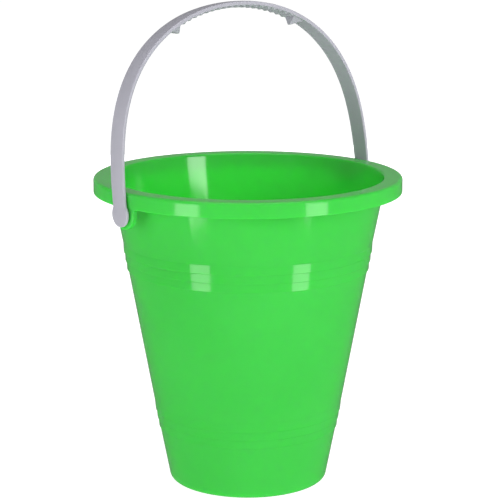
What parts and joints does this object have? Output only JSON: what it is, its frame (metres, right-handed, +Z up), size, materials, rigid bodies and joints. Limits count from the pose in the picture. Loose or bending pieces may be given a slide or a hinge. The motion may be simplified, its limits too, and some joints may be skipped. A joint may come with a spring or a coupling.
{
  "type": "sand bucket",
  "caption": "Tapered moulded sand bucket with a turned-down rim, stepped rings and a swinging strap handle snapped into ears.",
  "frame": {"origin": "centre of the foot ring, on the surface the bucket stands on", "axes": "+Z up along the bucket's axis, +X along the handle's pivot axis, +Y the side the handle leans to at rest"},
  "size_m": [0.2168, 0.21, 0.3304],
  "materials": {
    "bucket_plastic": "glossy moulded polypropylene, slightly translucent green",
    "handle_plastic": "satin moulded polypropylene, white with a grey cast"
  },
  "bodies": {
    "bucket": {"bucket_body": "bucket_plastic"},
    "handle": {"bail_handle": "handle_plastic"}
  },
  "joints": [
    {"name": "handle_swing", "type": "hinge", "parent": "bucket", "child": "handle", "pos_m": [0, 0, 0.1985], "axis": [1, 0, 0], "range_deg": [-135, 149]}
  ]
}
